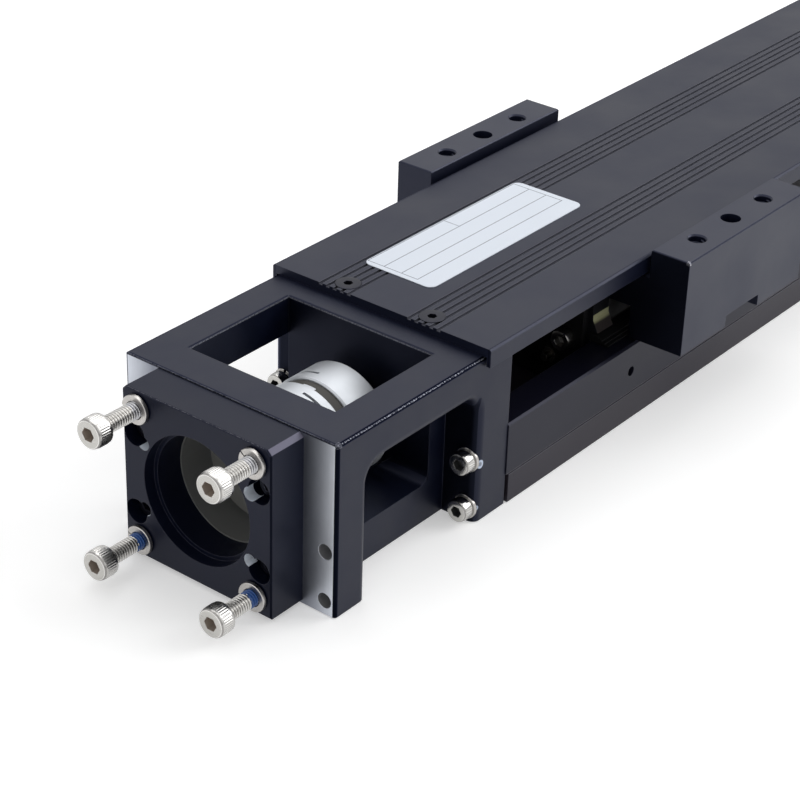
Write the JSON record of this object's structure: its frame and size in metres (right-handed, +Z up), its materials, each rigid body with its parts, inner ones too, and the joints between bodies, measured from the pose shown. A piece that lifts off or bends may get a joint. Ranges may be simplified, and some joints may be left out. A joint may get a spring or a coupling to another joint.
{
  "type": "ball screw linear stage",
  "caption": "Motor-ready ball screw linear stage: a covered U-section steel rail with a coupling housing at one end, a rear bearing block, and a carriage with two raised mounting arms.",
  "frame": {"origin": "centre of the rail's bottom mounting face, midway along the rail", "axes": "+X along the travel, away from the motor end; +Y to the left when looking along +X; +Z up, out of the rail's open side"},
  "size_m": [0.5049, 0.0856, 0.0465],
  "materials": {
    "blackened_steel": "black-treated ground steel, satin",
    "black_anodised": "fine-blasted black anodised, satin",
    "stainless_steel": "bright turned stainless",
    "black_oxide_steel": "black oxide, slight oil sheen",
    "ground_steel": "ground and lightly oiled",
    "silver_aluminium": "clear anodised, satin",
    "grey_polymer": "moulded, matte",
    "cream_nylon": "moulded nylon, matte",
    "black_rubber": "moulded rubber, matte",
    "black_plastic": "moulded, matte",
    "white_film": "printed film label, blank table lines only",
    "nickel_brass": "turned brass"
  },
  "bodies": {
    "base": {"rail": "blackened_steel", "front_housing": "black_anodised", "motor_plate": "black_anodised", "plate_fixing_screws": "black_oxide_steel", "motor_screws": "stainless_steel", "motor_spring_washers": "stainless_steel", "front_housing_screws": "stainless_steel", "front_housing_washers": "stainless_steel", "bearing_outer_rings": "ground_steel", "bearing_retainer": "ground_steel", "retainer_screws": "black_oxide_steel", "rear_housing": "black_anodised", "rear_housing_screws": "stainless_steel", "rear_bearing_outer_ring": "ground_steel", "rear_bore_plug": "black_plastic", "cover": "black_anodised", "cover_screws_front": "black_oxide_steel", "cover_screws_rear": "black_oxide_steel", "blank_label": "white_film", "front_bumper": "black_rubber", "rear_bumper": "black_rubber"},
    "screw": {"ball_screw": "ground_steel", "coupling_front_hub": "silver_aluminium", "coupling_rear_hub": "silver_aluminium", "coupling_centre_disc": "grey_polymer", "coupling_clamp_screws": "black_oxide_steel", "lock_nut": "black_oxide_steel", "bearing_collar": "ground_steel", "bearing_inner_rings": "ground_steel", "bearing_balls": "ground_steel", "rear_bearing_inner_ring": "ground_steel", "rear_bearing_balls": "ground_steel", "rear_circlip": "black_oxide_steel"},
    "carriage": {"nut_block": "ground_steel", "front_end_cap": "cream_nylon", "rear_end_cap": "cream_nylon", "front_seal_plate": "black_rubber", "rear_seal_plate": "black_rubber", "front_cap_screws": "stainless_steel", "rear_cap_screws": "stainless_steel", "left_side_seal": "black_rubber", "right_side_seal": "black_rubber", "carriage_table": "black_anodised", "table_screws": "black_oxide_steel", "grease_nipple": "nickel_brass", "left_race_balls": "ground_steel", "right_race_balls": "ground_steel"}
  },
  "joints": [
    {"name": "carriage_slide", "type": "slide", "parent": "base", "child": "carriage", "axis": [1, 0, 0], "range_m": [-0.0364, 0.2825]},
    {"name": "screw_spin", "type": "hinge", "parent": "base", "child": "screw", "pos_m": [0, 0, 0.0214], "axis": [1, 0, 0], "range_deg": [-10174, 1314]}
  ],
  "couplings": [
    {"joint": "screw_spin", "follows": "carriage_slide", "rad_per_m": -628.32}
  ]
}
